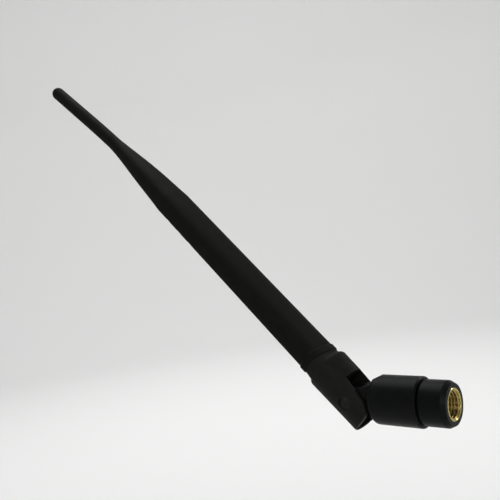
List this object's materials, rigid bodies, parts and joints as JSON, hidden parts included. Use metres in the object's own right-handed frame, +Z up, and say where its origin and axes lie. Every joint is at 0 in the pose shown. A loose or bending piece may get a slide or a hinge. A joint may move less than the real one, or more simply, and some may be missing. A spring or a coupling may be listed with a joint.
{
  "type": "whip antenna",
  "caption": "Folding whip antenna: a flat blade that narrows to a thin round tip, a hinge fork, a swivelling barrel and a screw-on coaxial plug with a round grip.",
  "frame": {"origin": "centre of the first thread inside the coupling nut's mouth, on the plug's axis", "axes": "+X out of the nut's mouth along the plug's axis, +Y along the hinge pins, +Z up, towards the side to which the whip folds"},
  "size_m": [0.1324, 0.0112, 0.1105],
  "materials": {
    "whip_black": "satin",
    "hinge_black": "satin",
    "grip_black": "satin",
    "gold_plate": "polished",
    "bare_brass": "satin",
    "copper_wire": "satin",
    "pin_steel": "satin",
    "white_dielectric": "satin",
    "natural_nylon": "satin",
    "gasket_rubber": "matte",
    "cable_jacket": "satin",
    "shrink_black": "matte"
  },
  "bodies": {
    "connector": {"connector_body": "gold_plate", "insulator": "white_dielectric", "centre_contact": "gold_plate", "gasket_ring": "gasket_rubber", "retaining_ring": "bare_brass", "crimp_ferrule": "bare_brass", "plug_core": "white_dielectric"},
    "nut": {"coupling_nut": "gold_plate", "nut_grip": "grip_black"},
    "barrel": {"barrel": "hinge_black", "coax_cable": "cable_jacket"},
    "whip": {"fork": "hinge_black", "hinge_pin_left": "pin_steel", "hinge_pin_right": "pin_steel", "whip_sheath": "whip_black", "dipole_sleeve": "bare_brass", "sleeve_cap": "bare_brass", "sleeve_bush": "natural_nylon", "lower_spacer": "natural_nylon", "upper_spacer": "natural_nylon", "feed_core": "white_dielectric", "heat_shrink": "shrink_black", "radiator_wire": "copper_wire", "lower_bead": "natural_nylon", "upper_bead": "natural_nylon"}
  },
  "joints": [
    {"name": "nut_spin", "type": "hinge", "parent": "connector", "child": "nut", "pos_m": [0, 0, 0], "axis": [1, 0, 0], "continuous": true},
    {"name": "swivel", "type": "hinge", "parent": "connector", "child": "barrel", "pos_m": [0, 0, 0], "axis": [1, 0, 0], "range_deg": [-180, 180]},
    {"name": "tilt", "type": "hinge", "parent": "barrel", "child": "whip", "pos_m": [-0.0237, 0, 0], "axis": [0, 1, 0], "range_deg": [-45, 45], "deforming": ["coax_cable"]}
  ]
}
